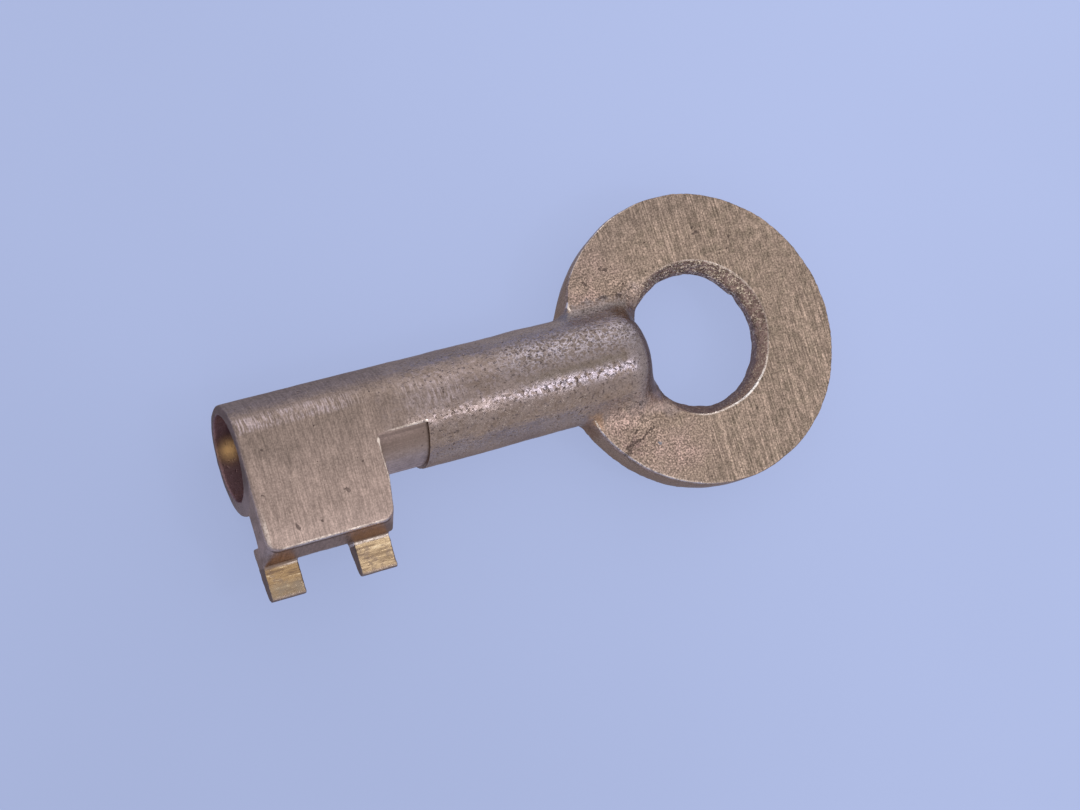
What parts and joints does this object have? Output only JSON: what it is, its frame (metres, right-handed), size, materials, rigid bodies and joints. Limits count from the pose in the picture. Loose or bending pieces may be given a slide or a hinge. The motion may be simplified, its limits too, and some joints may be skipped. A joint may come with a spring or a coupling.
{
  "type": "barrel key",
  "caption": "Cast brass padlock key with a drilled barrel, a side bit cut into teeth and a flat ring bow.",
  "frame": {"origin": "centre of the drilled bore's mouth, in the plane of the barrel's open end", "axes": "+X along the barrel from its mouth to the bow, bit towards -Y, +Z out of the bow's upper face"},
  "size_m": [0.0572, 0.0266, 0.0096],
  "materials": {
    "cast_brass": "dull aged casting skin with fine pits",
    "ground_brass": "dull, ground with fine scratches across the barrel",
    "filed_brass": "bright, freshly filed along the barrel"
  },
  "bodies": {
    "root": {"bow": "cast_brass", "shank": "cast_brass", "barrel": "cast_brass", "bit": "ground_brass", "front_tooth": "filed_brass", "rear_tooth": "filed_brass"}
  },
  "joints": []
}
